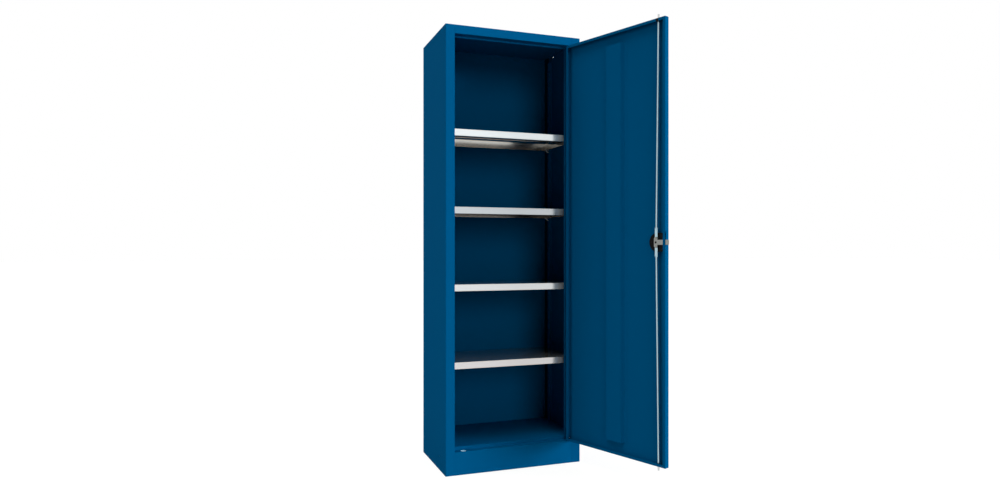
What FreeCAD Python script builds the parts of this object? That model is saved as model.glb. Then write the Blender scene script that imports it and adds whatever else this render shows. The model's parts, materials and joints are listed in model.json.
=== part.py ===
import FreeCAD, Part
import math
import os

# Tall sheet-steel storage cabinet with one flush door, four shelves and a three-point rod lock.
# Millimetres. The origin is the centre of the carcass on the ground, +X is to the right as the cabinet
# is faced, +Y runs to the back and +Z is up. The door stands open and its lock is thrown.

# Carcass
cabinet_width = 640.0
cabinet_depth = 400.0
cabinet_height = 1950.0
sheet = 1.0
bend_inside = 0.4
upright_width = 41.0
top_rail_height = 38.0
plinth_height = 100.0
rebate_depth = 32.0
lock_lip = 8.0
hinge_lip = 20.0
top_lip = 8.0
bottom_lip = 15.0
lip_hem = 10.0
rear_flange = 20.0
weld_flange = 15.0
foot_return = 25.0
floor_skirt = 20.0
back_inset = 2.0
fit_gap = 0.2

# Holes in the sides for bolting cabinets together
coupling_radius = 3.5
coupling_spacing = 186.0
coupling_from_top = 12.0
coupling_from_bottom = 60.0

# Shelf rails, their slots and the shelves
rail_width = 37.0
rail_flange = 8.0
rail_depth = 10.0
rail_top_gap = 35.0
slot_pitch = 24.5
slot_side_play = 1.0
slot_rise = 3.5
slot_end_margin = 30.0
shelf_count = 4
shelf_sheet = 0.8
shelf_end_gap = 3.0
shelf_front_setback = 50.0
shelf_back_gap = 20.0
shelf_edge = 30.0
shelf_return = 15.0
rail_from_shelf_edge = 33.0
lowest_shelf_top = 480.0
shelf_step_slots = 14

# Stiffener under each shelf
stiffener_width = 84.0
stiffener_crown = 52.0
stiffener_height = 15.0
stiffener_end_gap = 8.0

# Shelf clips
clip_sheet = 1.5
clip_width = 12.0
clip_reach = 17.0
clip_drop = 15.0
clip_hook = 6.0
clip_play = 0.1

# Door
door_gap = 2.5
door_thickness = 23.0
door_lip = 12.0
door_open_angle = 110.0
door_stop_angle = 111.0
hat_crown = 80.0
hat_slope = 10.0
hat_flange = 14.0
hat_depth = 15.0
hat_end_gap = 52.0

# Pivots
pivot_inset = 6.0
pin_radius = 2.5
pin_reach = 12.0
pin_head_radius = 4.0
pin_head = 2.0
pin_collar = 1.2
bush_radius = 3.75
bush_flange_width = 0.75
bush_flange = 1.0
bush_length = 10.0
running_gap = 0.05

# Lock
backset = 48.0
housing_lip_gap = 1.0
housing_reach = 40.0
housing_half_height = 38.0
housing_clearance = 1.5
housing_rounding = 2.5
spindle_radius = 6.0
spindle_clearance = 1.0
spindle_square = 9.0
spindle_bore = 3.0
spindle_bore_depth = 8.0
crank_radius = 18.0
cam_width = 17.0
cam_end = 4.0
cam_thickness = 3.0
tongue_projection = 15.0
tongue_height = 20.0
tongue_corner = 3.0
cam_pin_radius = 2.5
cam_pin_head_radius = 4.0
cam_pin_head = 1.2
pin_play = 0.3
screw_radius = 2.0
screw_head_radius = 3.5
screw_head = 2.0
screw_side = 22.0
screw_rise = 27.0
screw_back = 28.0

# Lock rods
rod_radius = 4.0
rod_flat_width = 13.0
rod_flat = 3.0
rod_flat_end = 62.0
rod_offset = 1.0
rod_lean = 8.0
rod_projection = 18.0
rod_tip_chamfer = 1.5
layer_gap = 0.5
rod_swing_play = 4.5
rod_side_play = 0.5
guide_wall = 3.0
guide_flange = 2.0
guide_flange_height = 4.0
guide_tab_width = 13.0
strike_end_play = 5.5
strike_side_play = 2.5
strike_wall = 1.2
strike_rim = 2.0
strike_rim_height = 1.2
strike_pocket = 18.0
slot_clearance = 2.0

# Outside handle
escutcheon_half_width = 32.0
escutcheon_half_height = 42.0
escutcheon_corner = 12.0
escutcheon_thickness = 4.0
handle_gap = 0.3
hub_radius = 23.0
hub_thickness = 8.0
hub_rounding = 2.0
grip_length = 104.0
grip_width = 22.0
grip_height = 34.0
grip_rounding = 5.0
boss_radius = 17.0
boss_height = 36.0
spindle_socket = 8.0
barrel_radius = 11.0
barrel_length = 25.0
barrel_rim_width = 1.5
barrel_rim = 1.5
plug_radius = 7.5
plug_length = 22.0
keyway_width = 2.2
keyway_height = 9.0
keyway_depth = 8.0

# Door buffers
buffer_radius = 2.5
buffer_count = 4
buffer_end_gap = 200.0
buffer_gap = 0.3

# Places that follow from the sizes above
V = FreeCAD.Vector
left = -cabinet_width / 2
right = cabinet_width / 2
front = -cabinet_depth / 2
back = cabinet_depth / 2
rear_face = back - sheet
side_top = cabinet_height - sheet
opening_left = left + upright_width
opening_right = right - upright_width
opening_top = cabinet_height - top_rail_height
stop_face = front + rebate_depth
jamb_room = stop_face + cabinet_depth / 4
flange_half_run = cabinet_depth / 3
floor_top = plinth_height + bottom_lip
door_left = opening_left + door_gap
door_right = opening_right - door_gap
door_bottom = plinth_height + door_gap
door_top = opening_top - door_gap
door_back = front + door_thickness
pivot_x = door_right - pivot_inset
pivot_y = front + (pivot_inset + door_gap) / math.tan(math.radians(door_stop_angle / 2))
spindle_x = door_left + backset
spindle_z = (door_bottom + door_top) / 2
rod_x = spindle_x - rod_lean
rod_y = front + door_thickness / 2 + rod_offset
rod_slot_half_width = rod_radius + rod_side_play
rod_slot_half_length = rod_radius + rod_swing_play
strike_length = 2 * (rod_radius + strike_end_play)
strike_width = 2 * (rod_radius + strike_side_play)
cam_outer = door_back - sheet - layer_gap - cam_thickness
cam_inner = cam_outer + cam_thickness
flat_inner = cam_outer - layer_gap
flat_outer = flat_inner - rod_flat
pin_seat = flat_outer - pin_play
housing_face = pin_seat - cam_pin_head - housing_clearance
tongue_reach = backset + tongue_projection
handle_base = front - escutcheon_thickness - handle_gap
barrel_face = handle_base - boss_height
shelf_front = front + shelf_front_setback
shelf_back = back - shelf_back_gap
shelf_left = left + sheet + rail_depth + shelf_end_gap
shelf_right = -shelf_left
shelf_bottoms = [
    lowest_shelf_top - shelf_edge + step * shelf_step_slots * slot_pitch for step in range(shelf_count)
]
rail_centres = {
    "front": shelf_front + rail_from_shelf_edge + rail_width / 2,
    "rear": shelf_back - rail_from_shelf_edge - rail_width / 2,
}


def box(x0, x1, y0, y1, z0, z1):
    """A block between two corners."""
    return Part.makeBox(x1 - x0, y1 - y0, z1 - z0, V(x0, y0, z0))


def rod_along(axis, radius, start, end, first, second):
    """A cylinder along x, y or z from start to end, at the other two coordinates in x, y, z order."""
    base = {"x": V(start, first, second), "y": V(first, start, second), "z": V(first, second, start)}[axis]
    direction = {"x": V(1, 0, 0), "y": V(0, 1, 0), "z": V(0, 0, 1)}[axis]
    return Part.makeCylinder(radius, end - start, base, direction)


def rounded_wire(corners):
    """A closed wire through (point, radius) corners, each rounded by its radius."""
    edges = []
    starts = []
    ends = []
    for index, (corner, radius) in enumerate(corners):
        before = corners[index - 1][0]
        after = corners[(index + 1) % len(corners)][0]
        inward = (before - corner).normalize()
        outward = (after - corner).normalize()
        half_angle = inward.getAngle(outward) / 2
        reach = radius / math.tan(half_angle) if radius else 0
        starts.append(corner + inward * reach)
        ends.append(corner + outward * reach)
        if radius:
            middle = (inward + outward).normalize()
            centre = corner + middle * (radius / math.sin(half_angle))
            edges.append((index, Part.Arc(starts[-1], centre - middle * radius, ends[-1]).toShape()))
    for index in range(len(corners)):
        start = ends[index]
        end = starts[(index + 1) % len(corners)]
        if start.distanceToPoint(end) > 1e-6:
            edges.append((index + 0.5, Part.LineSegment(start, end).toShape()))
    edges.sort(key=lambda pair: pair[0])
    return Part.Wire([edge for _, edge in edges])


def in_space(point, axis):
    """A flat point of a section that runs along an axis: (x, y) for z, (y, z) for x, (x, z) for y."""
    u, v = point
    return {"z": V(u, v, 0), "x": V(0, u, v), "y": V(u, 0, v)}[axis]


def run_along(corners, axis, start, end):
    """A prism of flat (point, radius) corners along an axis."""
    step = {"x": V(1, 0, 0), "y": V(0, 1, 0), "z": V(0, 0, 1)}[axis]
    shift = step * start
    wire = rounded_wire([(in_space(point, axis) + shift, radius) for point, radius in corners])
    return Part.Face(wire).extrude(step * (end - start))


def folded_sheet(path, axis, start, end, thickness=sheet):
    """A sheet folded along a flat path, lying to the left of it, with rounded bends."""
    points = [V(u, v, 0) for u, v in path]
    steps = [(after - before).normalize() for before, after in zip(points, points[1:])]
    sides = [V(-step.y, step.x, 0) for step in steps]
    near = [(points[0], 0)]
    far = [(points[0] + sides[0] * thickness, 0)]
    for index in range(1, len(points) - 1):
        turn = steps[index - 1].x * steps[index].y - steps[index - 1].y * steps[index].x
        mitre = (sides[index - 1] + sides[index]).normalize()
        reach = thickness / mitre.dot(sides[index])
        outer = bend_inside + thickness
        near.append((points[index], outer if turn > 0 else bend_inside))
        far.append((points[index] + mitre * reach, bend_inside if turn > 0 else outer))
    near.append((points[-1], 0))
    far.append((points[-1] + sides[-1] * thickness, 0))
    outline = [((point.x, point.y), radius) for point, radius in near + far[::-1]]
    return run_along(outline, axis, start, end)


def plate(half_width, half_height, corner, centre_x, centre_z, y0, y1):
    """An upright plate with rounded corners, flat in x and z."""
    corners = [
        ((centre_x + side * half_width, centre_z + rise * half_height), corner)
        for side, rise in ((-1, -1), (1, -1), (1, 1), (-1, 1))
    ]
    return run_along(corners, "y", y0, y1)


def oval(length, width, centre_x, centre_y, z0, z1):
    """A block with round ends, long in x, standing in z."""
    half = (length - width) / 2
    middle = box(centre_x - half, centre_x + half, centre_y - width / 2, centre_y + width / 2, z0, z1)
    ends = [rod_along("z", width / 2, z0, z1, centre_x + side * half, centre_y) for side in (-1, 1)]
    return middle.fuse(ends).removeSplitter()


def mirrored(shape):
    """The same piece on the other side of the cabinet."""
    return shape.mirror(V(0, 0, 0), V(1, 0, 0))


def side_panel(lip):
    """Left side: rear flange, wall, upright, rebate, stop lip and hem folded from one sheet."""
    path = [
        (left + rear_flange, rear_face),
        (left, rear_face),
        (left, front),
        (opening_left, front),
        (opening_left, stop_face),
        (opening_left + lip, stop_face),
        (opening_left + lip, stop_face + lip_hem),
    ]
    panel = folded_sheet(path, "z", 0, side_top)
    wall = left + sheet
    flanges = [
        box(wall - sheet / 2, wall + weld_flange, -flange_half_run, flange_half_run, low, low + sheet)
        for low in (0, side_top - sheet)
    ]
    holes = [
        rod_along("x", coupling_radius, left - sheet, wall + sheet, side * coupling_spacing / 2, height)
        for side in (-1, 1)
        for height in (coupling_from_bottom, cabinet_height - coupling_from_top)
    ]
    return panel.fuse(flanges).cut(holes)


def tongue_slot(x0, x1):
    """The room that the tongue needs to swing up through an upright wall between x0 and x1."""
    distance = spindle_x - x1
    rise = math.sqrt(tongue_reach ** 2 + (tongue_height / 2) ** 2 - distance ** 2)
    low = spindle_z - tongue_height / 2 - slot_clearance
    high = spindle_z + rise + slot_clearance
    near = cam_outer - slot_clearance / 2
    return box(x0, x1, near, cam_inner + layer_gap, low, high)


def left_side_panel():
    return side_panel(lock_lip).cut(tongue_slot(opening_left - 2 * sheet, opening_left + sheet))


def right_side_panel():
    return mirrored(side_panel(hinge_lip))


def cut_round_jambs(panel, low, high):
    """Clear a cross member of the jambs' stop lips, which run past it."""
    ends = [(left, opening_left + lock_lip), (opening_right - hinge_lip, right)]
    return panel.cut([box(x0, x1, stop_face, jamb_room, low, high) for x0, x1 in ends])


def frame_holes(low, high):
    """The openings for a rod strike and a pivot pin above or below the door."""
    strike_hole = oval(
        strike_length + 2 * strike_wall, strike_width + 2 * strike_wall, rod_x, rod_y, low, high
    )
    pin_hole = rod_along("z", pin_radius + running_gap, low, high, pivot_x, pivot_y)
    return [strike_hole, pin_hole]


def top_panel():
    """Roof, rear flange, top rail, rebate, stop lip and hem folded from one sheet."""
    lip_bottom = opening_top - top_lip
    path = [
        (rear_face, cabinet_height - rear_flange),
        (rear_face, cabinet_height),
        (front, cabinet_height),
        (front, opening_top),
        (stop_face, opening_top),
        (stop_face, lip_bottom),
        (stop_face + lip_hem, lip_bottom),
    ]
    panel = folded_sheet(path, "x", left, right)
    over_uprights = [
        box(x0, x1, front - sheet, jamb_room, lip_bottom - sheet, side_top)
        for x0, x1 in ((left, opening_left), (opening_right, right))
    ]
    over_flanges = [
        box(x0, x1, rear_face - weld_flange, rear_face, cabinet_height - rear_flange - sheet, side_top)
        for x0, x1 in ((left, left + rear_flange), (right - rear_flange, right))
    ]
    panel = cut_round_jambs(panel.cut(over_uprights + over_flanges), lip_bottom - sheet, side_top)
    return panel.cut(frame_holes(opening_top - sheet, opening_top + 2 * sheet))


def back_panel():
    half = cabinet_width / 2 - back_inset
    return box(-half, half, rear_face, back, back_inset, cabinet_height - back_inset)


def plinth_panel():
    """Floor flange, bottom stop lip, ledge, kick plate and foot return folded from one sheet."""
    under_floor = floor_top - sheet
    path = [
        (stop_face + rear_flange, under_floor),
        (stop_face, under_floor),
        (stop_face, plinth_height),
        (front, plinth_height),
        (front, 0),
        (front + foot_return, 0),
    ]
    panel = cut_round_jambs(folded_sheet(path, "x", opening_left, opening_right), 0, floor_top)
    return panel.cut(frame_holes(plinth_height - 2 * sheet, plinth_height + sheet))


def floor_panel():
    """Floor tray with skirts down the sides and the back, cut round the jambs."""
    behind_jambs = stop_face + lip_hem + fit_gap
    wall = left + sheet
    rear = rear_face - sheet - bend_inside
    under = floor_top - sheet
    low = floor_top - floor_skirt
    tray = box(wall, -wall, behind_jambs, rear, under, floor_top)
    nose = box(
        opening_left + lock_lip + fit_gap, opening_right - hinge_lip - fit_gap, stop_face,
        behind_jambs + sheet, under, floor_top
    )
    skirts = [
        box(wall, wall + sheet, behind_jambs, rear, low, floor_top),
        box(-wall - sheet, -wall, behind_jambs, rear, low, floor_top),
        box(wall, -wall, rear - sheet, rear, low, floor_top),
    ]
    return tray.fuse([nose] + skirts).removeSplitter()


def shelf_rail(centre_y):
    """Hat rail on the left wall with a slot at each shelf height."""
    wall = left + sheet
    crown = wall + rail_depth
    rear = centre_y + rail_width / 2
    near = centre_y - rail_width / 2
    path = [
        (wall, rear),
        (wall, rear - rail_flange),
        (crown - sheet, rear - rail_flange),
        (crown - sheet, near + rail_flange),
        (wall, near + rail_flange),
        (wall, near),
    ]
    top = cabinet_height - rail_top_gap
    rail = folded_sheet(path, "z", floor_top, top)
    first_step = -math.floor((shelf_bottoms[0] - floor_top - slot_end_margin) / slot_pitch)
    last_step = math.floor((top - slot_end_margin - shelf_bottoms[0]) / slot_pitch)
    half = clip_width / 2 + slot_side_play
    slots = []
    for step in range(first_step, last_step + 1):
        low = shelf_bottoms[0] + step * slot_pitch - clip_sheet - clip_play
        high = low + clip_sheet + slot_rise
        slots.append(box(crown - 2 * sheet, crown + sheet, centre_y - half, centre_y + half, low, high))
    return rail.cut(slots)


def shelf(bottom):
    """Shelf tray: front and back edges folded down and under, ends folded down."""
    top = bottom + shelf_edge
    path = [
        (shelf_back - shelf_return, bottom),
        (shelf_back, bottom),
        (shelf_back, top),
        (shelf_front, top),
        (shelf_front, bottom),
        (shelf_front + shelf_return, bottom),
    ]
    tray = folded_sheet(path, "x", shelf_left, shelf_right, shelf_sheet)
    inside = shelf_sheet / 2
    ends = [
        box(x0, x0 + shelf_sheet, shelf_front + inside, shelf_back - inside, bottom, top - inside)
        for x0 in (shelf_left, shelf_right - shelf_sheet)
    ]
    return tray.fuse(ends).removeSplitter()


def shelf_stiffener(bottom):
    """Hat profile along the middle of a shelf's underside."""
    under = bottom + shelf_edge - shelf_sheet
    centre = (shelf_front + shelf_back) / 2
    half_width = stiffener_width / 2
    half_crown = stiffener_crown / 2
    low = under - stiffener_height + shelf_sheet
    path = [
        (centre + half_width, under),
        (centre + half_crown, under),
        (centre + half_crown, low),
        (centre - half_crown, low),
        (centre - half_crown, under),
        (centre - half_width, under),
    ]
    half_length = shelf_right - stiffener_end_gap
    return folded_sheet(path, "x", -half_length, half_length, shelf_sheet)


def shelf_clips(bottom):
    """Four clips: a hook behind the rail's crown, a ledge under the shelf and a stay down to the rail."""
    crown = left + sheet + rail_depth
    hook = crown - sheet - clip_play - clip_sheet
    path = [
        (hook, bottom + clip_hook),
        (hook, bottom - clip_sheet),
        (crown + clip_reach, bottom - clip_sheet),
        (crown + clip_play + clip_sheet, bottom - clip_drop),
    ]
    clips = []
    for centre_y in rail_centres.values():
        clip = run_clip(path, centre_y)
        clips += [clip, mirrored(clip)]
    return Part.makeCompound(clips)


def run_clip(path, centre_y):
    """One clip bent from strip, hook and ledge on the left of its path, with the stay turned back below."""
    hook, foot, nose, heel = path
    near = centre_y - clip_width / 2
    far = centre_y + clip_width / 2
    upper = folded_sheet([hook, foot, nose], "y", near, far, clip_sheet)
    lean = math.atan2(nose[1] - heel[1], nose[0] - heel[0])
    across = (-math.sin(lean) * clip_sheet, math.cos(lean) * clip_sheet)
    stay = [
        (nose, 0),
        ((nose[0] + across[0], nose[1] + clip_sheet), 0),
        ((heel[0] + across[0], heel[1] + across[1]), 0),
        (heel, 0),
    ]
    return upper.fuse(run_along(stay, "y", near, far)).removeSplitter()


def pivot_pin(face, direction):
    """A pin clinched in the frame: head behind the sheet, collar in the door gap, shank into the door."""
    def stretch(radius, start, end):
        low, high = sorted((face + direction * start, face + direction * end))
        return rod_along("z", radius, low, high, pivot_x, pivot_y)

    shank = stretch(pin_radius, -sheet - pin_head, door_gap + pin_reach)
    head = stretch(pin_head_radius, -sheet - pin_head, -sheet)
    collar = stretch(pin_head_radius, 0, pin_collar)
    return shank.fuse([head, collar]).removeSplitter()


def pivot_bush(edge, direction):
    """A flanged plastic bush in the door's edge, with a running bore for the pin."""
    def stretch(radius, start, end):
        low, high = sorted((edge + direction * start, edge + direction * end))
        return rod_along("z", radius, low, high, pivot_x, pivot_y)

    body = stretch(bush_radius - running_gap, -bush_flange, bush_length)
    flange = stretch(bush_radius + bush_flange_width, -bush_flange, 0)
    bore = stretch(pin_radius + running_gap, -bush_flange - sheet, pin_reach + 2 * sheet)
    return body.fuse(flange).cut(bore).removeSplitter()


def rod_strike(face, direction):
    """A white cup in the frame for the end of a lock rod: rim in the door gap, pocket behind the sheet."""
    def stretch(grow, start, end):
        low, high = sorted((face + direction * start, face + direction * end))
        return oval(strike_length + 2 * grow, strike_width + 2 * grow, rod_x, rod_y, low, high)

    depth = -sheet - strike_pocket
    rim = stretch(strike_rim, 0, strike_rim_height)
    cup = stretch(strike_wall - running_gap, depth - strike_wall, strike_rim_height / 2)
    pocket = stretch(0, depth, strike_rim_height + sheet)
    return rim.fuse(cup).cut(pocket).removeSplitter()


def door_buffers():
    """Rubber stops on the lock-side lip that meet the closed door's lip."""
    x = opening_left + (door_gap + lock_lip) / 2
    low = door_bottom + buffer_end_gap
    spacing = (door_top - door_bottom - 2 * buffer_end_gap) / (buffer_count - 1)
    stops = [
        rod_along("y", buffer_radius, door_back + buffer_gap, stop_face, x, low + step * spacing)
        for step in range(buffer_count)
    ]
    return Part.makeCompound(stops)


def round_rod(grow, low, high):
    """A block round a lock rod's slot in the door's edge, larger than the slot by grow."""
    half = rod_slot_half_length + grow
    wide = rod_slot_half_width + grow
    return box(rod_x - half, rod_x + half, rod_y - wide, rod_y + wide, low, high)


def door_panel():
    """Door pan: front sheet, four edges folded back and inner lips, with the lock's and the pivots' holes."""
    pan = box(door_left, door_right, front, door_back, door_bottom, door_top)
    pan = pan.makeFillet(bend_inside + sheet, pan.Edges)
    inside = box(
        door_left + sheet, door_right - sheet, front + sheet, door_back - sheet, door_bottom + sheet,
        door_top - sheet
    )
    mouth = box(
        door_left + door_lip, door_right - door_lip, door_back - 2 * sheet, door_back + sheet,
        door_bottom + door_lip, door_top - door_lip
    )
    cuts = [inside, mouth, tongue_slot(door_left - sheet, door_left + 2 * sheet)]
    for low in (door_bottom - sheet, door_top - 2 * sheet):
        high = low + 3 * sheet
        cuts.append(round_rod(guide_wall, low, high))
        cuts.append(rod_along("z", bush_radius, low, high, pivot_x, pivot_y))
    half_tab = guide_tab_width / 2 + running_gap
    cuts.append(
        box(
            rod_x - half_tab, rod_x + half_tab, door_back - 2 * sheet, door_back + sheet,
            door_top - 2 * door_lip, door_top - sheet
        )
    )
    holes = [(screw_radius + fit_gap, x, z) for x, z in screw_places()]
    holes.append((spindle_radius + spindle_clearance, spindle_x, spindle_z))
    cuts += [rod_along("y", radius, front - sheet, front + 2 * sheet, x, z) for radius, x, z in holes]
    return pan.cut(cuts)


def door_stiffener():
    """Broad hat down the middle of the door's inside."""
    face = front + sheet
    centre = (door_left + door_right) / 2
    half = hat_crown / 2
    path = [
        (centre - half - hat_slope - hat_flange, face),
        (centre - half - hat_slope, face),
        (centre - half, face + hat_depth - sheet),
        (centre + half, face + hat_depth - sheet),
        (centre + half + hat_slope, face),
        (centre + half + hat_slope + hat_flange, face),
    ]
    return folded_sheet(path, "z", door_bottom + hat_end_gap, door_top - hat_end_gap)


def screw_places():
    """Where the three screws hold the lock housing to the escutcheon through the door."""
    return [
        (spindle_x - screw_side, spindle_z + screw_rise),
        (spindle_x - screw_side, spindle_z - screw_rise),
        (spindle_x + screw_back, spindle_z),
    ]


def lock_housing():
    """Black housing on the door's inside, round towards the hinge and straight beside the door's lip."""
    y0 = front + sheet
    y1 = housing_face
    edge = door_left + door_lip + housing_lip_gap
    round_x = spindle_x + housing_reach - housing_half_height
    top = V(round_x, y0, spindle_z + housing_half_height)
    bottom = V(round_x, y0, spindle_z - housing_half_height)
    nose = V(spindle_x + housing_reach, y0, spindle_z)
    corners = [V(edge, y0, bottom.z), V(edge, y0, top.z)]
    outline = Part.Wire([
        Part.Arc(top, nose, bottom).toShape(),
        Part.LineSegment(bottom, corners[0]).toShape(),
        Part.LineSegment(corners[0], corners[1]).toShape(),
        Part.LineSegment(corners[1], top).toShape(),
    ])
    housing = Part.Face(outline).extrude(V(0, y1 - y0, 0))
    rim = [edge for edge in housing.Edges if abs(edge.BoundBox.YMin - y1) < 1e-6]
    housing = housing.makeFillet(housing_rounding, rim)
    cuts = [rod_along("y", spindle_radius + running_gap, y0 - sheet, y1 + sheet, spindle_x, spindle_z)]
    cuts += [rod_along("y", screw_radius + fit_gap, y0 - sheet, y1 + sheet, x, z) for x, z in screw_places()]
    return housing.cut(cuts)


def lock_screws():
    """Pan-head screws through the housing and the door into the escutcheon."""
    seat = housing_face
    tip = front - escutcheon_thickness / 2
    screws = []
    for x, z in screw_places():
        shank = rod_along("y", screw_radius, tip, seat + screw_head / 2, x, z)
        head = rod_along("y", screw_head_radius, seat, seat + screw_head, x, z)
        screws.append(shank.fuse(head).removeSplitter())
    return Part.makeCompound(screws)


def handle_escutcheon():
    """Plate under the handle on the door's outside, with the spindle's bearing."""
    y0 = front - escutcheon_thickness
    cover = plate(
        escutcheon_half_width, escutcheon_half_height, escutcheon_corner, spindle_x, spindle_z, y0, front
    )
    rim = [edge for edge in cover.Edges if abs(edge.BoundBox.YMax - y0) < 1e-6]
    cover = cover.makeFillet(escutcheon_thickness / 2, rim)
    cuts = [rod_along("y", spindle_radius + running_gap, y0 - sheet, front + sheet, spindle_x, spindle_z)]
    cuts += [
        rod_along("y", screw_radius + running_gap, front - escutcheon_thickness / 2, front + sheet, x, z)
        for x, z in screw_places()
    ]
    return cover.cut(cuts)


def handle_grip():
    """Black turning handle: round hub, upright wing and a boss for the lock barrel."""
    base = handle_base
    hub = rod_along("y", hub_radius, base - hub_thickness, base, spindle_x, spindle_z)
    face = [edge for edge in hub.Edges if abs(edge.BoundBox.YMax - base + hub_thickness) < 1e-6]
    hub = hub.makeFillet(hub_rounding, face)
    wing = plate(
        grip_width / 2, grip_length / 2, grip_width / 2 - fit_gap, spindle_x, spindle_z, base - grip_height,
        base - hub_thickness / 2
    )
    rim = [edge for edge in wing.Edges if abs(edge.BoundBox.YMax - base + grip_height) < 1e-6]
    wing = wing.makeFillet(grip_rounding, rim)
    boss = rod_along("y", boss_radius, base - boss_height, base - hub_thickness / 2, spindle_x, spindle_z)
    mouth = [edge for edge in boss.Edges if abs(edge.BoundBox.YMax - base + boss_height) < 1e-6]
    boss = boss.makeFillet(hub_rounding, mouth)
    bores = [
        (barrel_radius, barrel_face - sheet, barrel_face + barrel_length),
        (spindle_radius, base - spindle_socket, base + sheet),
    ]
    cuts = [rod_along("y", radius + running_gap, y0, y1, spindle_x, spindle_z) for radius, y0, y1 in bores]
    return hub.fuse([wing, boss]).removeSplitter().cut(cuts)


def lock_spindle():
    """Round spindle from the handle through the door, squared for the cam, with a tapped end."""
    shaft = rod_along("y", spindle_radius, handle_base - spindle_socket, pin_seat, spindle_x, spindle_z)
    half = spindle_square / 2
    square = box(
        spindle_x - half, spindle_x + half, pin_seat - sheet, cam_inner, spindle_z - half, spindle_z + half
    )
    bore = rod_along(
        "y", spindle_bore, cam_inner - spindle_bore_depth, cam_inner + sheet, spindle_x, spindle_z
    )
    return shaft.fuse(square).removeSplitter().cut(bore)


def lock_cam():
    """Cam plate on the spindle's square, with two crank pin holes and the tongue towards the free edge."""
    y0 = cam_outer
    y1 = cam_inner
    crank = plate(
        cam_width / 2, crank_radius + cam_end, cam_width / 2 - fit_gap, spindle_x, spindle_z, y0, y1
    )
    tip = spindle_x - tongue_reach
    half_tongue = tongue_height / 2
    tongue = run_along([
        ((spindle_x, spindle_z - half_tongue), 0),
        ((spindle_x, spindle_z + half_tongue), 0),
        ((tip, spindle_z + half_tongue), tongue_corner),
        ((tip, spindle_z - half_tongue), tongue_corner),
    ], "y", y0, y1)
    half = spindle_square / 2 + running_gap
    square = plate(half, half, 0, spindle_x, spindle_z, y0 - sheet, y1 + sheet)
    cuts = [square]
    for side in (-1, 1):
        place = spindle_z + side * crank_radius
        cuts.append(rod_along("y", cam_pin_radius + running_gap, y0 - sheet, y1 + sheet, spindle_x, place))
    return crank.fuse(tongue).removeSplitter().cut(cuts)


def cam_pins():
    """Two headed pins that join the rods' flats to the cam."""
    pins = []
    for side in (-1, 1):
        place = spindle_z + side * crank_radius
        ends = (pin_seat - cam_pin_head, cam_inner + cam_pin_head)
        shank = rod_along("y", cam_pin_radius, *ends, spindle_x, place)
        heads = [
            rod_along("y", cam_pin_head_radius, cam_inner, cam_inner + cam_pin_head, spindle_x, place),
            rod_along("y", cam_pin_head_radius, pin_seat - cam_pin_head, pin_seat, spindle_x, place),
        ]
        pins.append(shank.fuse(heads).removeSplitter())
    return Part.makeCompound(pins)


def lock_rod(direction):
    """Round rod with a flattened, drilled end on the cam pin, leaning to its guide in the door's edge."""
    y0 = flat_outer
    y1 = flat_inner
    edge = door_top if direction > 0 else door_bottom
    pin_z = spindle_z + direction * crank_radius
    flat_z = spindle_z + direction * rod_flat_end
    tip_z = edge + direction * rod_projection
    half = rod_flat_width / 2
    low, high = sorted((pin_z - direction * half, flat_z))
    flat = plate(half, (high - low) / 2, half - fit_gap, spindle_x, (low + high) / 2, y0, y1)
    start = V(spindle_x, (y0 + y1) / 2, flat_z - direction * half)
    along = V(rod_x, rod_y, edge) - start
    end = start + along * ((tip_z - start.z) / along.z)
    length = (end - start).Length
    shank = Part.makeCylinder(rod_radius, length - rod_tip_chamfer, start, along)
    tip = Part.makeCone(
        rod_radius, rod_radius - rod_tip_chamfer, rod_tip_chamfer,
        start + along.normalize() * (length - rod_tip_chamfer), along
    )
    hole = rod_along("y", cam_pin_radius + running_gap, y0 - sheet, y1 + sheet, spindle_x, pin_z)
    return flat.fuse([shank, tip]).cut(hole).removeSplitter()


def rod_guide(edge, direction, with_tab):
    """Plastic guide in the door's edge, with a long slot that lets the rod swing a little."""
    def levels(start, end):
        return sorted((edge - direction * start, edge - direction * end))

    neck = round_rod(guide_wall - running_gap, *levels(0, sheet + guide_flange_height / 2))
    reach = rod_slot_half_length + guide_wall + guide_flange
    flange = box(
        rod_x - reach, rod_x + reach, front + sheet + fit_gap, door_back - sheet - fit_gap,
        *levels(sheet, sheet + guide_flange_height)
    )
    guide = neck.fuse(flange)
    if with_tab:
        half_tab = guide_tab_width / 2
        span = levels(sheet, door_lip + sheet)
        guide = guide.fuse(box(rod_x - half_tab, rod_x + half_tab, door_back - 2 * sheet, door_back, *span))
    return guide.removeSplitter().cut(round_rod(0, *levels(-sheet, 2 * guide_flange_height)))


def lock_barrel():
    """Nickel lock barrel in the handle's boss, with the plug's bore."""
    barrel = rod_along(
        "y", barrel_radius, barrel_face, barrel_face + barrel_length - fit_gap, spindle_x, spindle_z
    )
    face = barrel_face - barrel_rim
    rim = rod_along("y", barrel_radius + barrel_rim_width, face, barrel_face, spindle_x, spindle_z)
    bore = rod_along(
        "y", plug_radius + running_gap, face - sheet, face + plug_length + fit_gap, spindle_x, spindle_z
    )
    return barrel.fuse(rim).removeSplitter().cut(bore)


def cylinder_plug():
    """Turning key plug with its keyway."""
    face = barrel_face - barrel_rim
    plug = rod_along("y", plug_radius, face, face + plug_length, spindle_x, spindle_z)
    keyway = box(
        spindle_x - keyway_width / 2, spindle_x + keyway_width / 2, face - sheet, face + keyway_depth,
        spindle_z - keyway_height / 2, spindle_z + keyway_height / 2
    )
    return plug.cut(keyway)


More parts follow.
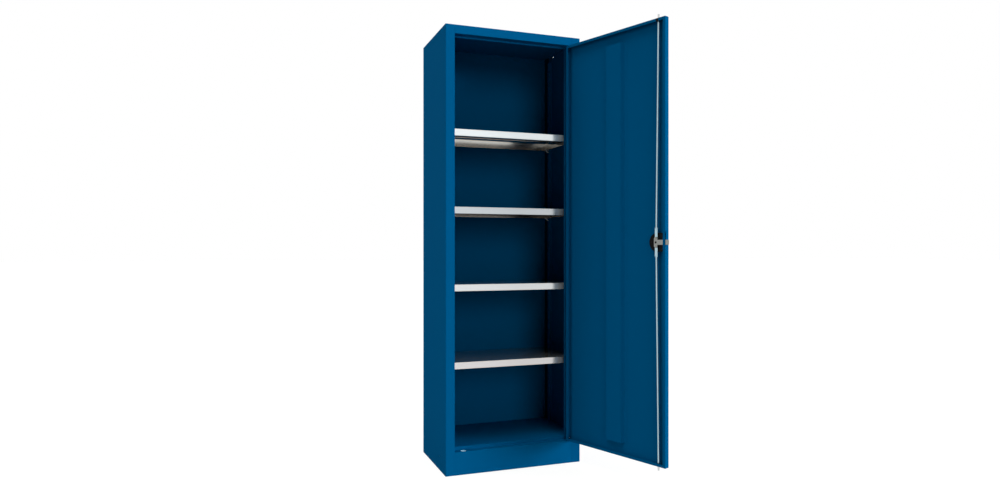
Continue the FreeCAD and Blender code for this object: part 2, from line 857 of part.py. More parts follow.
def cabinet_pieces():
    """Every fixed piece by its name."""
    pieces = {
        "left_side_panel": left_side_panel(),
        "right_side_panel": right_side_panel(),
        "top_panel": top_panel(),
        "back_panel": back_panel(),
        "plinth_panel": plinth_panel(),
        "floor_panel": floor_panel(),
        "upper_pivot_pin": pivot_pin(opening_top, -1),
        "lower_pivot_pin": pivot_pin(plinth_height, 1),
        "upper_rod_strike": rod_strike(opening_top, -1),
        "lower_rod_strike": rod_strike(plinth_height, 1),
        "door_buffers": door_buffers(),
    }
    for place, centre_y in rail_centres.items():
        rail = shelf_rail(centre_y)
        pieces["shelf_rail_left_" + place] = rail
        pieces["shelf_rail_right_" + place] = mirrored(rail)
    for number, bottom in enumerate(shelf_bottoms, 1):
        pieces["shelf_%d" % number] = shelf(bottom)
        pieces["shelf_stiffener_%d" % number] = shelf_stiffener(bottom)
        pieces["shelf_clips_%d" % number] = shelf_clips(bottom)
    return pieces


def door_pieces():
    """Every piece that swings with the door, as it lies with the door shut."""
    return {
        "door_panel": door_panel(),
        "door_stiffener": door_stiffener(),
        "upper_pivot_bush": pivot_bush(door_top, -1),
        "lower_pivot_bush": pivot_bush(door_bottom, 1),
        "lock_housing": lock_housing(),
        "lock_screws": lock_screws(),
        "upper_rod_guide": rod_guide(door_top, 1, True),
        "lower_rod_guide": rod_guide(door_bottom, -1, False),
        "handle_escutcheon": handle_escutcheon(),
        "handle_grip": handle_grip(),
        "lock_spindle": lock_spindle(),
        "lock_cam": lock_cam(),
        "cam_pins": cam_pins(),
        "lock_barrel": lock_barrel(),
        "cylinder_plug": cylinder_plug(),
        "upper_rod": lock_rod(1),
        "lower_rod": lock_rod(-1),
    }


os.makedirs("parts", exist_ok=True)
pieces = cabinet_pieces()
for name, shape in door_pieces().items():
    pieces[name] = shape.rotated(V(pivot_x, pivot_y, 0), V(0, 0, 1), door_open_angle)
for name, shape in pieces.items():
    shape.exportStep("parts/%s.step" % name)
    print(name, "solids", len(shape.Solids), "volume", round(shape.Volume), "valid", shape.isValid())
print("pivot", round(pivot_x, 3), round(pivot_y, 3), "spindle", round(spindle_x, 3), round(spindle_z, 3))
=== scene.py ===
import json
import math

import bpy
from mathutils import Matrix, Vector


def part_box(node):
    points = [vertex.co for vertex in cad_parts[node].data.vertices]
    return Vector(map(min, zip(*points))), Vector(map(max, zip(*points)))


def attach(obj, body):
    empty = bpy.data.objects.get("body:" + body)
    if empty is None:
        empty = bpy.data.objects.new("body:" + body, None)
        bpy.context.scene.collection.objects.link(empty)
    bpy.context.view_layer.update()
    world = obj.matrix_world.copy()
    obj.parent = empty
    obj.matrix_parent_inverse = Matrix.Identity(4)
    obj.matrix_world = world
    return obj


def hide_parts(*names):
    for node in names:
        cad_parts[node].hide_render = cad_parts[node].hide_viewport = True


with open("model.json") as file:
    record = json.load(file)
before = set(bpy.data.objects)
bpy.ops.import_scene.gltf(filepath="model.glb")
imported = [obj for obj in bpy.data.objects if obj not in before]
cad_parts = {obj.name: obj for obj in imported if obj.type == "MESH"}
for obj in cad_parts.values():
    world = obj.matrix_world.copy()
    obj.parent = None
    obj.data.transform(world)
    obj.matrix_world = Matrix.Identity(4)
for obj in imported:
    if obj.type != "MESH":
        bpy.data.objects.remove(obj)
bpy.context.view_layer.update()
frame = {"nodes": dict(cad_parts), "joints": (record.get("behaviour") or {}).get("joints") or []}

# Viewpoint
# The cabinet is seen from a little left of straight ahead and from half its height, so that every upright
# edge stays upright. The picture is twice as wide as it is high.
view_place = (-1.1395, -3.122, 0.975)
view_tilt = 90
view_turn = -20.08
sensor_width = 36.0
focal_length = 25.34
scene = bpy.context.scene
lens = bpy.data.cameras.new("viewpoint")
lens.sensor_width = sensor_width
lens.lens = focal_length
viewpoint = bpy.data.objects.new("viewpoint", lens)
viewpoint.location = view_place
viewpoint.rotation_euler = (math.radians(view_tilt), 0, math.radians(view_turn))
scene.collection.objects.link(viewpoint)
scene.camera = viewpoint
scene.view_settings.view_transform = "Standard"


# Studio
# A white floor that runs out of sight, a white room round it and soft lamps low on both sides, in front,
# overhead and behind. The room is dimmer as a light than it looks, so that metal mirrors white and paint
# keeps its colour.
class Strand:
    """One output in a node tree. Arithmetic on strands adds Math nodes to their tree."""

    def __init__(self, tree, output=None):
        self.tree = tree
        self.output = output

    def node(self, kind, settings=None, values=None, give=None):
        """Add a node: its settings first, then its inputs by identifier. Hand back one output."""
        made = self.tree.nodes.new(kind)
        for name, setting in (settings or {}).items():
            setattr(made, name, setting)
        inputs = {socket.identifier: socket for socket in made.inputs}
        for name, value in (values or {}).items():
            for item in value if isinstance(value, list) else [value]:
                if isinstance(item, Strand):
                    self.tree.links.new(item.output, inputs[name])
                else:
                    inputs[name].default_value = item
        outputs = {socket.identifier: socket for socket in made.outputs}
        return Strand(self.tree, outputs[give] if give else next(iter(outputs.values()), None))

    def beside(self, name):
        """Another output of the same node."""
        return Strand(self.tree, self.output.node.outputs[name])

    def math(self, operation, first, second=0.0):
        return self.node("ShaderNodeMath", {"operation": operation}, {"Value": first, "Value_001": second})

    def vector(self, operation, first, second=(0.0, 0.0, 0.0), give="Vector"):
        values = {"Vector": first, "Vector_001": second}
        return self.node("ShaderNodeVectorMath", {"operation": operation}, values, give)

    def mix(self, first, second):
        """The colour that lies this far from the first to the second."""
        values = {"Factor_Float": self, "A_Color": first, "B_Color": second}
        return self.node("ShaderNodeMix", {"data_type": "RGBA"}, values, "Result_Color")

    def __add__(self, other):
        return self.math("ADD", self, other)

    def __sub__(self, other):
        return self.math("SUBTRACT", self, other)

    def __rsub__(self, other):
        return self.math("SUBTRACT", other, self)

    def __mul__(self, other):
        return self.math("MULTIPLY", self, other)

    def __truediv__(self, other):
        return self.math("DIVIDE", self, other)

    def __rtruediv__(self, other):
        return self.math("DIVIDE", other, self)

    def __lt__(self, other):
        return self.math("LESS_THAN", self, other)

    def __gt__(self, other):
        return self.math("GREATER_THAN", self, other)

    __radd__ = __add__
    __rmul__ = __mul__


def new_finish(name):
    """An empty material and a strand to build it with."""
    made = bpy.data.materials.new(name)
    made.use_nodes = True
    made.node_tree.nodes.clear()
    return made, Strand(made.node_tree)


def own_place(strand):
    """Where a point lies on its piece, in metres."""
    return strand.node("ShaderNodeTexCoord", give="Object")


def parts_of(spot):
    """How far across, how deep and how high a place lies."""
    across = spot.node("ShaderNodeSeparateXYZ", None, {"Vector": spot}, "X")
    return across, across.beside("Y"), across.beside("Z")


def mottle(spot, scale, detail=2.0):
    """A cloudy pattern between nought and one: its clouds to the metre and its layers of finer clouds."""
    return spot.node("ShaderNodeTexNoise", None, {"Vector": spot, "Scale": scale, "Detail": detail}, "Fac")


def shown_rays(strand):
    """One for rays that look at a thing or mirror it, nought for the rays that light it."""
    looked_at = strand.node("ShaderNodeLightPath", give="Is Camera Ray")
    mirrored = looked_at.beside("Is Glossy Ray")
    seen_through = looked_at.beside("Is Transmission Ray")
    unscattered = looked_at.beside("Diffuse Depth") < 1
    indirect = strand.math("MAXIMUM", mirrored, seen_through) * unscattered
    return strand.math("MAXIMUM", looked_at, indirect)


white = (1, 1, 1, 1)
room_light = 0.01
room = bpy.data.worlds.new("studio_room")
room.use_nodes = True
room.node_tree.nodes.clear()
scene.world = room
air = Strand(room.node_tree)
room_strength = room_light + (1 - room_light) * shown_rays(air)
walls = air.node("ShaderNodeBackground", None, {"Color": white, "Strength": room_strength})
air.node("ShaderNodeOutputWorld", None, {"Surface": walls})

# Each lamp's turn from straight ahead (to the right is positive), its height and its breadth, in degrees,
# and its strength
lamps = {
    "right_lamp": (47, 5, 24, 3.05),
    "left_lamp": (-92, 10, 36, 0.7),
    "front_lamp": (3, 14, 28, 0.62),
    "high_right_lamp": (60, 62, 26, 0.95),
    "high_left_lamp": (-87, 65, 36, 1.25),
    "high_front_lamp": (0, 62, 26, 0.42),
    "back_lamp": (175, 14, 70, 1.8),
}
level_tilt = 90
plain_light = (1, 1, 1)
shade_light = (1.0, 1.04, 0.95)
shade_lamps = ("left_lamp", "front_lamp", "high_left_lamp", "high_front_lamp")
for name, (turn, height, breadth, strength) in lamps.items():
    lamp = bpy.data.lights.new(name, "SUN")
    lamp.energy = strength
    lamp.color = shade_light if name in shade_lamps else plain_light
    lamp.angle = math.radians(breadth)
    stand = bpy.data.objects.new(name, lamp)
    stand.rotation_euler = (math.radians(level_tilt - height), 0, math.radians(turn))
    stand.visible_glossy = False
    scene.collection.objects.link(stand)

floor_half = 60.0
floor_grey = (0.30, 0.30, 0.30, 1)
floor_pale = (0.32, 0.32, 0.32, 1)
floor_speckle = 3.0
floor_glow = 2.2
floor_glow_share = 0.4
left_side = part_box("left_side_panel")
right_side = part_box("right_side_panel")
floor_finish, ground = new_finish("white_floor")
spot = own_place(ground)
speckle = mottle(spot, floor_speckle)
matt = ground.node("ShaderNodeBsdfDiffuse", None, {"Color": speckle.mix(floor_grey, floor_pale)})
glow = ground.node("ShaderNodeEmission", None, {"Color": white, "Strength": floor_glow})
across, depth = parts_of(spot)[:2]
under_width = (across > left_side[0][0]) * (across < right_side[1][0])
under_depth = (depth > left_side[0][1]) * (depth < left_side[1][1])
lit = floor_glow_share * shown_rays(ground) * (1 - under_width * under_depth)
surface = ground.node("ShaderNodeMixShader", None, {"Fac": lit, "Shader": matt, "Shader_001": glow})
ground.node("ShaderNodeOutputMaterial", None, {"Surface": surface})
floor_mesh = bpy.data.meshes.new("studio_floor")
floor_corners = [(x * floor_half, y * floor_half, 0) for x, y in ((-1, -1), (1, -1), (1, 1), (-1, 1))]
floor_mesh.from_pydata(floor_corners, [], [(0, 1, 2, 3)])
floor_mesh.materials.append(floor_finish)
studio_floor = bpy.data.objects.new("studio_floor", floor_mesh)
scene.collection.objects.link(studio_floor)


# Carcass panels
# Sides, roof, back, plinth and floor are folded from 1 mm steel sheet, spot-welded and powder-coated blue.
# The coat is matt, with a fine orange peel and a slight cloudiness. The inside of the side walls is painted
# darker, as painted shade, and darkest between the rear rails and the back.
def linear(red, green, blue):
    """A colour given as eight-bit screen values, as the shader takes it."""
    full = 255
    knee = 0.04045
    slope = 12.92
    offset = 0.055
    power = 2.4
    shares = []
    for value in (red, green, blue):
        share = value / full
        shares.append(share / slope if share <= knee else ((share + offset) / (1 + offset)) ** power)
    return (*shares, 1.0)


def close_finish(strand, values):
    """End a material in one surface shader."""
    shader = strand.node("ShaderNodeBsdfPrincipled", None, values, "BSDF")
    strand.node("ShaderNodeOutputMaterial", None, {"Surface": shader})


def dress(finish, *names):
    """Give a finish to nodes of the frame."""
    for name in names:
        frame["nodes"][name].material_slots[0].material = finish


paint_blue = linear(0, 87, 140)
paint_deep = linear(0, 84, 135)
# Painted shade: the dark blue that the inside of the side walls is mixed towards.
painted_shade_blue = linear(0, 34, 58)
cloud_scale = 5.0
cloud_detail = 3.0
cloud_share = 0.7
grain_scale = 240.0
grain_share = 0.3
peel_scale = 620.0
peel_detail = 1.0
peel_height = 0.00002
peel_strength = 0.6
coat_roughness = 0.5
cloud_roughness = 0.12
coat_gloss = 0.0005


def powder_coat(name, shade_mask=None):
    """Blue powder coat. Where shade_mask is one, the colour is painted fully in the dark shade blue."""
    made, coat = new_finish(name)
    spot = own_place(coat)
    clouds = mottle(spot, cloud_scale, cloud_detail)
    grain = mottle(spot, grain_scale)
    colour = (clouds * cloud_share + grain * grain_share).mix(paint_deep, paint_blue)
    peel = mottle(spot, peel_scale, peel_detail)
    peel_sizes = {"Strength": peel_strength, "Distance": peel_height, "Height": peel}
    # Painted shade: where the shade mask is one, the colour is mixed to the dark shade blue.
    close_finish(coat, {
        "Base Color": shade_mask(spot).mix(colour, painted_shade_blue) if shade_mask else colour,
        "Roughness": coat_roughness + cloud_roughness * clouds,
        "Specular IOR Level": coat_gloss,
        "Normal": coat.node("ShaderNodeBump", None, peel_sizes),
    })
    return made


wall_sheet = 0.001
wall_inside = right_side[1][0] - wall_sheet
wall_slack = wall_sheet / 2
# How much of the painted shade the inside of the side walls takes.
wall_shade_share = 0.3
recess_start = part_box("shelf_rail_right_rear")[1][1]


def painted_inside_shade(spot):
    """How much painted shade the coat takes: some inside the walls, full between the rear rails and the
    back.
    """
    across, depth = parts_of(spot)[:2]
    aside = spot.math("ABSOLUTE", across)
    on_inside = (aside > wall_inside - wall_slack) * (aside < wall_inside + wall_slack)
    return on_inside * (wall_shade_share + (1 - wall_shade_share) * (depth > recess_start))


blue_coat = powder_coat("blue_powder_coat_finish")
side_shaded_coat = powder_coat("side_shaded_powder_coat_finish", painted_inside_shade)
dress(side_shaded_coat, "left_side_panel", "right_side_panel")
dress(blue_coat, "top_panel", "back_panel", "plinth_panel", "floor_panel")


# Frame seams
# The top rail and the plinth butt against the uprights. Each joint is closed by a thin weld, dressed flush
# and painted over with the frame, so that it shows as a hair line.
def new_tree(name, lengths, directions=()):
    """A geometry tree that takes places, named sizes and a finish, with a strand for each of them."""
    tree = bpy.data.node_groups.new(name, "GeometryNodeTree")
    kinds = {"Places": "NodeSocketGeometry"}
    kinds.update({label: "NodeSocketFloat" for label in lengths})
    kinds.update({label: "NodeSocketVector" for label in directions})
    kinds["Finish"] = "NodeSocketMaterial"
    for label, kind in kinds.items():
        tree.interface.new_socket(label, in_out="INPUT", socket_type=kind)
    tree.interface.new_socket("Piece", in_out="OUTPUT", socket_type="NodeSocketGeometry")
    first = Strand(tree).node("NodeGroupInput")
    return tree, {label: first.beside(label) for label in kinds}


def stepped_paths(places, step):
    """The paths as curves, divided into equal steps."""
    curves = places.node("GeometryNodeMeshToCurve", None, {"Mesh": places}, "Curve")
    return curves.node("GeometryNodeResampleCurve", {"mode": "LENGTH"}, {"Curve": curves, "Length": step})


def close_tree(shape, finish):
    """End a geometry tree: make its copies real and give them the finish."""
    real = shape.node("GeometryNodeRealizeInstances", None, {"Geometry": shape}, "Geometry")
    values = {"Geometry": real, "Material": finish}
    finished = shape.node("GeometryNodeSetMaterial", None, values, "Geometry")
    piece = shape.tree.interface.items_tree["Piece"]
    shape.node("NodeGroupOutput", None, {piece.identifier: finished})


def grow(name, tree, paths, values, body):
    """Run a geometry tree along paths of points and keep the result as a plain mesh that rides on a body."""
    points = []
    edges = []
    for path in paths:
        edges += [(len(points) + step, len(points) + step + 1) for step in range(len(path) - 1)]
        points += path
    places = bpy.data.meshes.new(name + "_places")
    places.from_pydata(points, edges, [])
    piece = bpy.data.objects.new(name, places)
    scene.collection.objects.link(piece)
    maker = piece.modifiers.new("maker", "NODES")
    maker.node_group = tree
    for item in tree.interface.items_tree:
        if item.name in values:
            maker[item.identifier] = values[item.name]
    shaped = bpy.data.meshes.new_from_object(piece.evaluated_get(bpy.context.evaluated_depsgraph_get()))
    piece.modifiers.remove(maker)
    piece.data = shaped
    shaped.name = name
    bpy.data.meshes.remove(places)
    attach(piece, body)
    return piece


bead_sides = 10
seam_tree, of_seam = new_tree("weld_seam", ["Radius", "Step"])
seams = stepped_paths(of_seam["Places"], of_seam["Step"])
round_sizes = {"Resolution": bead_sides, "Radius": of_seam["Radius"]}
bead_round = seams.node("GeometryNodeCurvePrimitiveCircle", None, round_sizes, "Curve")
bead_parts = {"Curve": seams, "Profile Curve": bead_round, "Fill Caps": True}
close_tree(seams.node("GeometryNodeCurveToMesh", None, bead_parts), of_seam["Finish"])

plinth_low, plinth_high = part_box("plinth_panel")
frame_front = plinth_low[1]
seam_beside_plinth = 0.0001
seam_aside = plinth_high[0] + seam_beside_plinth
plinth_seam = (0.001, 0.0985)
rail_seam = (1.9135, 1.948)
seam_paths = [
    [(side * seam_aside, frame_front, height) for height in ends]
    for side in (-1, 1) for ends in (plinth_seam, rail_seam)
]
seam_sizes = {"Radius": 0.0003, "Step": 0.02, "Finish": blue_coat}
grow("frame_seams", seam_tree, seam_paths, seam_sizes, "cabinet")


# Back panel spot welds
# The flat back is spot-welded to the rear flanges of the sides and the roof. Each weld leaves a shallow
# round dish in the sheet, still visible through the paint.
def set_out(points, shape, facing):
    """A copy of a shape on every point, with its top turned one way."""
    turned = shape.node("FunctionNodeAlignRotationToVector", {"axis": "Z"}, {"Vector": facing})
    copies = {"Points": points, "Instance": shape, "Rotation": turned}
    return shape.node("GeometryNodeInstanceOnPoints", None, copies)


weld_sides = 16
weld_rings = 4
dish_middle = 0.35
dish_swell = 1.9
weld_tree, of_weld = new_tree("spot_weld_rows", ["Pitch", "Radius", "Rise"], ["Facing"])
rows = stepped_paths(of_weld["Places"], of_weld["Pitch"])
disc_sizes = {
    "Vertices": weld_sides, "Side Segments": weld_rings,
    "Radius Top": 0.0, "Radius Bottom": of_weld["Radius"], "Depth": 0.0,
}
mark = rows.node("GeometryNodeMeshCone", {"fill_type": "NGON"}, disc_sizes, "Mesh")
outward = rows.vector("LENGTH", rows.node("GeometryNodeInputPosition"), give="Value") / of_weld["Radius"]
dish = (1.0 - outward * outward) * (dish_middle + dish_swell * outward * outward) * of_weld["Rise"]
lift = rows.node("ShaderNodeCombineXYZ", None, {"Z": dish})
mark = rows.node("GeometryNodeSetPosition", None, {"Geometry": mark, "Offset": lift})
mark = rows.node("GeometryNodeSetShadeSmooth", None, {"Geometry": mark, "Shade Smooth": True})
close_tree(set_out(rows, mark, of_weld["Facing"]), of_weld["Finish"])

weld_size = {"Radius": 0.0032, "Rise": 0.00025}
sheet_weld_pitch = 0.092
weld_inset = 0.009
weld_margin = 0.04
back_low, back_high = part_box("back_panel")
back_face = back_high[1]
row_foot = back_low[2] + weld_margin
row_head = back_high[2] - weld_margin
row_aside = back_high[0] - weld_inset
back_rows = [[(side * row_aside, back_face, height) for height in (row_foot, row_head)] for side in (-1, 1)]
roof_row_ends = (back_low[0] + weld_margin, back_high[0] - weld_margin)
back_rows.append([(x, back_face, back_high[2] - weld_inset) for x in roof_row_ends])
back_sizes = {"Pitch": sheet_weld_pitch, "Facing": (0, 1, 0), "Finish": blue_coat, **weld_size}
grow("back_panel_spot_welds", weld_tree, back_rows, back_sizes, "cabinet")

# Shelf rails
# Four slotted hat rails of the same painted sheet, welded upright to the side walls. The shelf clips hook
# into their slots at any height.
for side in ("left", "right"):
    dress(blue_coat, "shelf_rail_%s_front" % side, "shelf_rail_%s_rear" % side)

# Shelves and their stiffeners
# Trays of bare galvanised sheet, their fronts not quite square to the sides, with a hat profile spot-welded
# along the underside. The zinc is smooth, with the faint lengthwise lines of the rolling mill and a fine
# frost. Its colour is painted light and shade by where it lies: bright on the front, greyer on the top,
# darker underneath and greyest in the end folds. Each shelf has its own tone, which is painted light too.
# Each shelf's tone is painted light: the brightness and tint that the light gives its front and underside.
shelf_painted_light_tones = {1: (220, 217, 218), 2: (226, 227, 229), 3: (208, 213, 218), 4: (245, 251, 254)}
front_step = 7
under_step = 18
# Painted shade: the underside is this much darker than the front, and the end folds are greyer still.
under_painted_shade = (21, 32, 42)
top_bright = linear(180, 178, 176)
top_grey = linear(171, 169, 167)
end_fold_painted_shade = linear(116, 113, 108)
front_metal = 0.66
top_metal = 0.8
zinc_roughness = 0.06
line_roughness = 0.02
under_roughness = 0.1
rolling_stretch = (2.0, 240.0, 240.0)
line_share = 0.6
frost_scale = 700.0
frost_share = 0.4
front_lean = 0.0177
fold_reach = 0.0015
top_skin = 0.0004


def drawn_lines(spot, stretch, detail=3.0):
    """The fine lines that rolling or drawing leaves: clouds stretched along the piece."""
    stretched = spot.node("ShaderNodeMapping", None, {"Vector": spot, "Scale": stretch})
    return mottle(stretched, 1.0, detail)


def grey_and_bright(tone, step):
    """A tone that is a step darker and the tone itself, as the shader takes them."""
    return linear(*[value - step for value in tone]), linear(*tone)


def galvanised_sheet(name, tone, low, high):
    """Zinc on a shelf between two corners, with painted light and shade by where it lies: front, top,
    underside and end folds.
    """
    made, zinc = new_finish(name)
    spot = own_place(zinc)
    across, depth, level = parts_of(spot)
    upper = level > high[2] - top_skin
    under = (depth > low[1] + fold_reach) * (level < high[2] - fold_reach)
    end_fold = under * (zinc.math("ABSOLUTE", across) > high[0] - fold_reach)
    lines = drawn_lines(spot, rolling_stretch)
    streak = lines * line_share + mottle(spot, frost_scale) * frost_share
    # Painted light and shade by face: front, top, underside and end folds each get their own colour.
    front = streak.mix(*grey_and_bright(tone, front_step))
    top = streak.mix(top_grey, top_bright)
    under_tone = [value - dulling for value, dulling in zip(tone, under_painted_shade)]
    underside = streak.mix(*grey_and_bright(under_tone, under_step))
    lean_sizes = {"Strength": 1.0, "Distance": 1.0, "Height": front_lean * across}
    close_finish(zinc, {
        "Base Color": under.mix(upper.mix(front, top), end_fold.mix(underside, end_fold_painted_shade)),
        "Metallic": front_metal + (top_metal - front_metal) * upper + (1 - front_metal) * under,
        "Roughness": zinc_roughness + line_roughness * lines + under_roughness * under,
        "Normal": zinc.node("ShaderNodeBump", None, lean_sizes),
    })
    return made


for number, tone in shelf_painted_light_tones.items():
    shelf_finish = galvanised_sheet("galvanised_finish_%d" % number, tone, *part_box("shelf_%d" % number))
    dress(shelf_finish, "shelf_%d" % number, "shelf_stiffener_%d" % number)

# Shelf spot welds
# Two rows of spot welds hold each stiffener's flanges to its shelf. They are of the same bare zinc and show
# from below.
flange_sheet = 0.0008
flange_inset = 0.008
shelf_weld_pitch = 0.074
shelf_rows = []
for number in shelf_painted_light_tones:
    low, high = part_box("shelf_stiffener_%d" % number)
    for depth in (low[1] + flange_inset, high[1] - flange_inset):
        row_ends = (low[0] + weld_margin, high[0] - weld_margin)
        shelf_rows.append([(x, depth, high[2] - flange_sheet) for x in row_ends])
shelf_sizes = {"Pitch": shelf_weld_pitch, "Facing": (0, 0, -1), "Finish": shelf_finish, **weld_size}
grow("shelf_spot_welds", weld_tree, shelf_rows, shelf_sizes, "cabinet")


# Shelf clips
# Four to a shelf, bent from bright spring steel strip and hooked into the rails' slots.
# The rolled strip has fine scratches and a satin shine.
def mottled_finish(name, dark, pale, scale, detail, roughness, spread, metal=0.0, gloss=0.5, relief=None):
    """A finish whose colour, roughness and relief, if it has one, all follow one cloudy pattern."""
    made, strand = new_finish(name)
    clouds = mottle(own_place(strand), scale, detail)
    values = {
        "Base Color": clouds.mix(linear(*dark), linear(*pale)),
        "Metallic": metal,
        "Roughness": roughness + spread * clouds,
        "Specular IOR Level": gloss,
    }
    if relief:
        values["Normal"] = strand.node("ShaderNodeBump", None, {**relief, "Height": clouds})
    close_finish(strand, values)
    return made


spring_steel = mottled_finish(
    "spring_steel_finish", dark=(236, 238, 240), pale=(250, 251, 252), scale=180.0, detail=3.0,
    roughness=0.25, spread=0.15, metal=0.2,
)
dress(spring_steel, *["shelf_clips_%d" % number for number in shelf_painted_light_tones])

# Rod strikes
# Nylon cups pressed into the frame for the ends of the lock rods. The one in the ledge over the plinth is
# pale and bare, the one under the top rail is painted over with the frame.
pale_nylon = mottled_finish(
    "white_nylon_finish", dark=(180, 222, 244), pale=(192, 230, 248), scale=300.0, detail=2.0,
    roughness=0.38, spread=0.1,
)
dress(pale_nylon, "lower_rod_strike")
dress(blue_coat, "upper_rod_strike")

# Pivot pins and bushes
# The door turns on two headed steel pins in the frame, zinc-plated, that run in black nylon bushes in the
# door's top and bottom edges.
zinc_plate = mottled_finish(
    "zinc_plate_finish", dark=(196, 206, 216), pale=(222, 230, 236), scale=120.0, detail=4.0,
    roughness=0.24, spread=0.18, metal=1.0,
)
dress(zinc_plate, "upper_pivot_pin", "lower_pivot_pin")
black_plastic = mottled_finish(
    "black_plastic_finish", dark=(5, 5, 5), pale=(12, 11, 11), scale=900.0, detail=2.0,
    roughness=0.42, spread=0.16, gloss=0.1, relief={"Strength": 0.5, "Distance": 0.00003},
)
dress(black_plastic, "upper_pivot_bush", "lower_pivot_bush")

# Door buffers
# Black rubber studs on the lock-side stop lip that soften the door's closing.
# The rubber is matt, with a grey bloom.
black_rubber = mottled_finish(
    "black_rubber_finish", dark=(20, 20, 21), pale=(34, 34, 35), scale=400.0, detail=3.0,
    roughness=0.7, spread=0.15,
)
dress(black_rubber, "door_buffers")

# Door
# A shallow pan of the same painted sheet, folded all round, with a broad hat down the middle of its inside.
# The hat's flanges are spot-welded to the pan.
dress(blue_coat, "door_panel", "door_stiffener")
joints = {joint["name"]: joint for joint in frame["joints"]}
hinge_line = Vector(joints["door_hinge"]["pos_m"])
hinge_line.z = 0
shut_angle = joints["door_hinge"]["range_deg"][0]
swing = Matrix.Rotation(math.radians(-shut_angle), 3, "Z")
inward = swing @ Vector((0, 1, 0))
towards_hinge = swing @ Vector((1, 0, 0))


def on_open_door(x, y, z):
    """A place on the shut door, carried to where it is with the door open."""
    return swing @ (Vector((x, y, z)) - hinge_line) + hinge_line


flange_centre = 0.057
flange_depth = 0.002
hat_low, hat_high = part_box("door_stiffener")
hat_row_ends = (hat_low[2] + weld_margin, hat_high[2] - weld_margin)
door_rows = [
    [on_open_door(side * flange_centre, frame_front + flange_depth, height) for height in hat_row_ends]
    for side in (-1, 1)
]
door_sizes = {"Pitch": sheet_weld_pitch, "Facing": inward, "Finish": blue_coat, **weld_size}
grow("door_spot_welds", weld_tree, door_rows, door_sizes, "door")

# Lock housing and rod guides
# Black glass-filled nylon mouldings with a fine spark texture. The housing is screwed to the door's inside,
# and the guides are pressed into the door's top and bottom edges.
dress(black_plastic, "lock_housing", "upper_rod_guide", "lower_rod_guide")

# Lock screws
# Three blackened pan-head screws with a cross recess hold the housing through the door to the escutcheon.
# They stand for the plain screws of the frame.
black_screw = mottled_finish(
    "blackened_steel_finish", dark=(12, 12, 13), pale=(24, 24, 25), scale=600.0, detail=3.0,
    roughness=0.4, spread=0.2, gloss=0.2,
)
screw_sides = 32
head_rings = 5
shank_rings = 1
screw_tree, of_screw = new_tree("pan_head_screws", [
    "Head Radius", "Head Height", "Rounding", "Recess Length", "Recess Width", "Recess Depth",
    "Shank Radius", "Shank Length",
], ["Facing"])
screw_points = of_screw["Places"]
head_radius = of_screw["Head Radius"]
head_top = of_screw["Head Height"]
head_middle = head_top / 2


def upright_cylinder(radius, low, high, rings):
    """A closed cylinder between two levels, with rings in its ends."""
    sizes = {"Vertices": screw_sides, "Fill Segments": rings, "Radius": radius, "Depth": high - low}
    made = radius.node("GeometryNodeMeshCylinder", {"fill_type": "TRIANGLE_FAN"}, sizes, "Mesh")
    move = radius.node("ShaderNodeCombineXYZ", None, {"Z": (low + high) / 2})
    return made.node("GeometryNodeTransform", None, {"Geometry": made, "Translation": move})


def recess_arm(length, width):
    """One arm of the cross recess: a bar, the lower half of which is sunk in the head's top."""
    bar = {"X": length, "Y": width, "Z": 2.0 * of_screw["Recess Depth"]}
    size = length.node("ShaderNodeCombineXYZ", None, bar)
    move = length.node("ShaderNodeCombineXYZ", None, {"Z": head_top})
    made = length.node("GeometryNodeMeshCube", None, {"Size": size}, "Mesh")
    return made.node("GeometryNodeTransform", None, {"Geometry": made, "Translation": move})


def joined(operation, values):
    """Two or more solids joined, or the others cut from the first."""
    settings = {"operation": operation, "solver": "EXACT"}
    return screw_points.node("GeometryNodeMeshBoolean", settings, values, "Mesh")


head = upright_cylinder(head_radius, 0.0, head_top, head_rings)
across, depth, level = parts_of(head.node("GeometryNodeInputPosition"))
share = (across * across + depth * depth) / (head_radius * head_radius)
fall = (level > head_middle) * share * share * of_screw["Rounding"]
drop = head.node("ShaderNodeCombineXYZ", None, {"Z": 0.0 - fall})
head = head.node("GeometryNodeSetPosition", None, {"Geometry": head, "Offset": drop})
shank = upright_cylinder(of_screw["Shank Radius"], 0.0 - of_screw["Shank Length"], head_middle, shank_rings)
whole = joined("UNION", {"Mesh 2": [head, shank]})
arms = [
    recess_arm(of_screw["Recess Length"], of_screw["Recess Width"]),
    recess_arm(of_screw["Recess Width"], of_screw["Recess Length"]),
]
screw = joined("DIFFERENCE", {"Mesh 1": whole, "Mesh 2": arms})
close_tree(set_out(screw_points, screw, of_screw["Facing"]), of_screw["Finish"])

lock_axis = joints["handle_turn"]
lock_centre = Vector(lock_axis["pos_m"])
head_height = 0.002
screw_depths = [inward.dot(corner.co) for corner in frame["nodes"]["lock_screws"].data.vertices]
seat = max(screw_depths) - head_height
screw_offsets = [(-0.022, 0.027), (-0.022, -0.027), (0.028, 0.0)]
screw_places = []
for aside, rise in screw_offsets:
    place = lock_centre + towards_hinge * aside + Vector((0, 0, rise))
    screw_places.append([place + inward * (seat - inward.dot(place))])
screw_sizes = {
    "Head Radius": 0.0035, "Head Height": head_height, "Rounding": 0.0008,
    "Recess Length": 0.0038, "Recess Width": 0.0008, "Recess Depth": 0.0012,
    "Shank Radius": 0.00195, "Shank Length": seat - min(screw_depths),
    "Facing": inward, "Finish": black_screw,
}
lock_screws = grow(
    "lock_screws_cross_head", screw_tree, screw_places, screw_sizes, "door",
)
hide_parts("lock_screws")

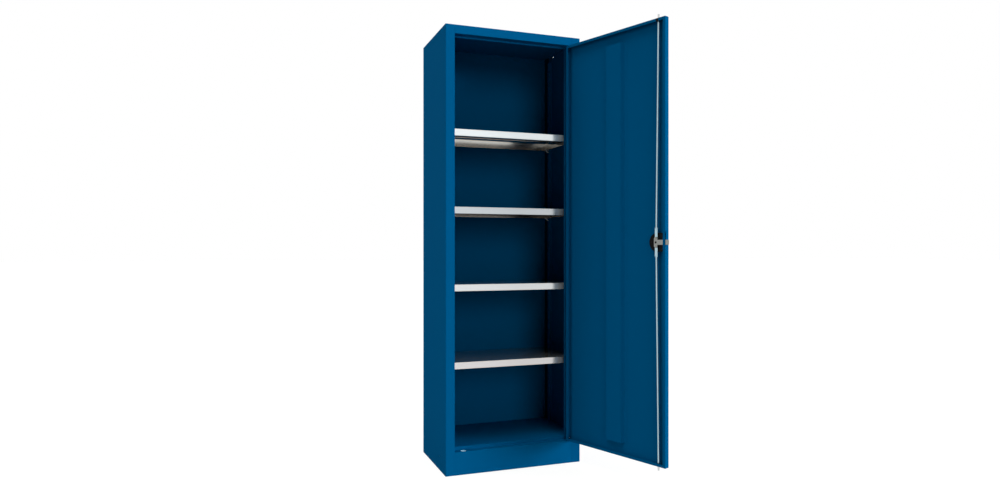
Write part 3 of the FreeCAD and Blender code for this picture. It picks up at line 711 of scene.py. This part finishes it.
# Spindle, cam and cam pins
# A turned steel spindle carries the stamped cam on its square end, and two headed pins join the rods to the
# cam. All are zinc-plated. Round the axis, over the tapped bore and a little past it, the spindle's end is
# painted dark and not metallic: painted shade in the bore.
bore_radius = 0.0049
spindle_grey = linear(150, 152, 152)
spindle_bright = linear(172, 174, 174)
bore_painted_shade = linear(10, 10, 10)
tool_mark_scale = 900.0
spindle_roughness = 0.3
tool_mark_roughness = 0.12
bore_shade_roughness = 0.2


def from_lock_axis(spot):
    """How far a place lies from the axis that handle, spindle and lock turn on."""
    offset = spot.vector("SUBTRACT", spot, tuple(lock_centre))
    across = spot.vector("CROSS_PRODUCT", offset, tuple(lock_axis["axis"]))
    return spot.vector("LENGTH", across, give="Value")


spindle_finish, turned_steel = new_finish("spindle_finish")
spot = own_place(turned_steel)
tool_marks = mottle(spot, tool_mark_scale)
# Painted shade in the tapped bore: dark and not metallic round the axis.
in_bore_shade = from_lock_axis(spot) < bore_radius
close_finish(turned_steel, {
    "Base Color": in_bore_shade.mix(tool_marks.mix(spindle_grey, spindle_bright), bore_painted_shade),
    "Metallic": 1.0 - in_bore_shade,
    "Roughness": spindle_roughness + tool_mark_roughness * tool_marks + bore_shade_roughness * in_bore_shade,
})
dress(spindle_finish, "lock_spindle")
cam_finish = mottled_finish(
    "cam_finish", dark=(134, 136, 132), pale=(160, 162, 157), scale=260.0, detail=4.0,
    roughness=0.32, spread=0.16, metal=1.0,
)
dress(cam_finish, "lock_cam", "cam_pins")

# Lock rods
# Round drawn steel with flattened, drilled ends, plated with bright bluish zinc. Fine lines run along the
# rods, and the strikes have rubbed their tips to bare steel.
plate_grey = linear(168, 197, 209)
plate_bright = linear(188, 213, 224)
bare_grey = linear(204, 206, 207)
bare_bright = linear(214, 216, 217)
drawing_stretch = (500.0, 500.0, 8.0)
rod_metal = 0.8
rod_roughness = 0.22
drawn_roughness = 0.14
tip_length = 0.02
upper_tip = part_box("upper_rod")[1][2] - tip_length
lower_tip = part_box("lower_rod")[0][2] + tip_length
rod_finish, drawn_steel = new_finish("rod_finish")
spot = own_place(drawn_steel)
drawn = drawn_lines(spot, drawing_stretch)
level = parts_of(spot)[2]
rubbed = (level > upper_tip) + (level < lower_tip)
close_finish(drawn_steel, {
    "Base Color": rubbed.mix(drawn.mix(plate_grey, plate_bright), drawn.mix(bare_grey, bare_bright)),
    "Metallic": rod_metal,
    "Roughness": rod_roughness + drawn_roughness * drawn,
})
dress(rod_finish, "upper_rod", "lower_rod")

# Escutcheon and handle
# Moulded in the same black nylon: a rounded plate on the door's outside and a wing handle with a round hub
# and a boss for the lock.
dress(black_plastic, "handle_escutcheon", "handle_grip")

# Lock barrel and key plug
# The barrel is pressed into the handle's boss, and the plug turns in it. Both are nickel-plated brass,
# turned on a lathe, so their faces carry fine rings round the axis.
nickel_grey = linear(196, 190, 178)
nickel_bright = linear(216, 210, 198)
rings_to_the_metre = 9000.0
nickel_roughness = 0.16
ring_roughness = 0.14
nickel_finish, turned_brass = new_finish("nickel_finish")
ring_sizes = {"W": from_lock_axis(own_place(turned_brass)) * rings_to_the_metre, "Scale": 1.0}
rings = turned_brass.node("ShaderNodeTexNoise", {"noise_dimensions": "1D"}, ring_sizes, "Fac")
close_finish(turned_brass, {
    "Base Color": rings.mix(nickel_grey, nickel_bright),
    "Metallic": 1.0,
    "Roughness": nickel_roughness + ring_roughness * rings,
})
dress(nickel_finish, "lock_barrel", "cylinder_plug")
